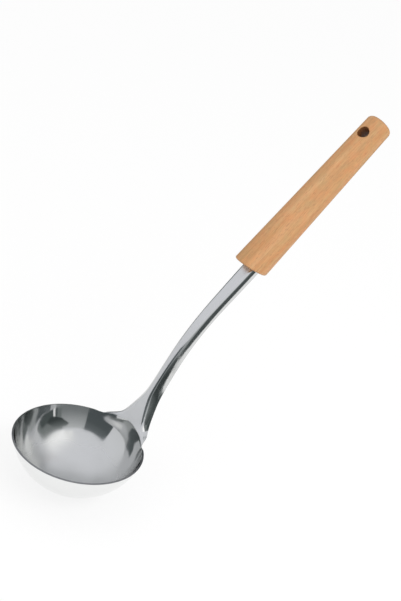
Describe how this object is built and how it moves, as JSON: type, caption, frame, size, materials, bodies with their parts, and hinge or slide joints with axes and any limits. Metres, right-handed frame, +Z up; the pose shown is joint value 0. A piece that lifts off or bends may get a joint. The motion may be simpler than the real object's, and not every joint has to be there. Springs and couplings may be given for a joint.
{
  "type": "soup ladle",
  "caption": "Soup ladle with a round steel bowl pressed in one with its bent channel shank, and a turned beech handle with a hanging hole.",
  "frame": {"origin": "middle of the flat under the bowl", "axes": "+Z is up with the rim level, +X runs from the bowl towards the handle, +Y is across the ladle"},
  "size_m": [0.2672, 0.0898, 0.2504],
  "materials": {
    "steel": "polished bowl, satin front of the shank",
    "beech": "turned, sanded and oiled",
    "adhesive": "cured adhesive"
  },
  "bodies": {
    "root": {"bowl_and_shank": "steel", "wood_handle": "beech", "tang_adhesive": "adhesive"}
  },
  "joints": []
}
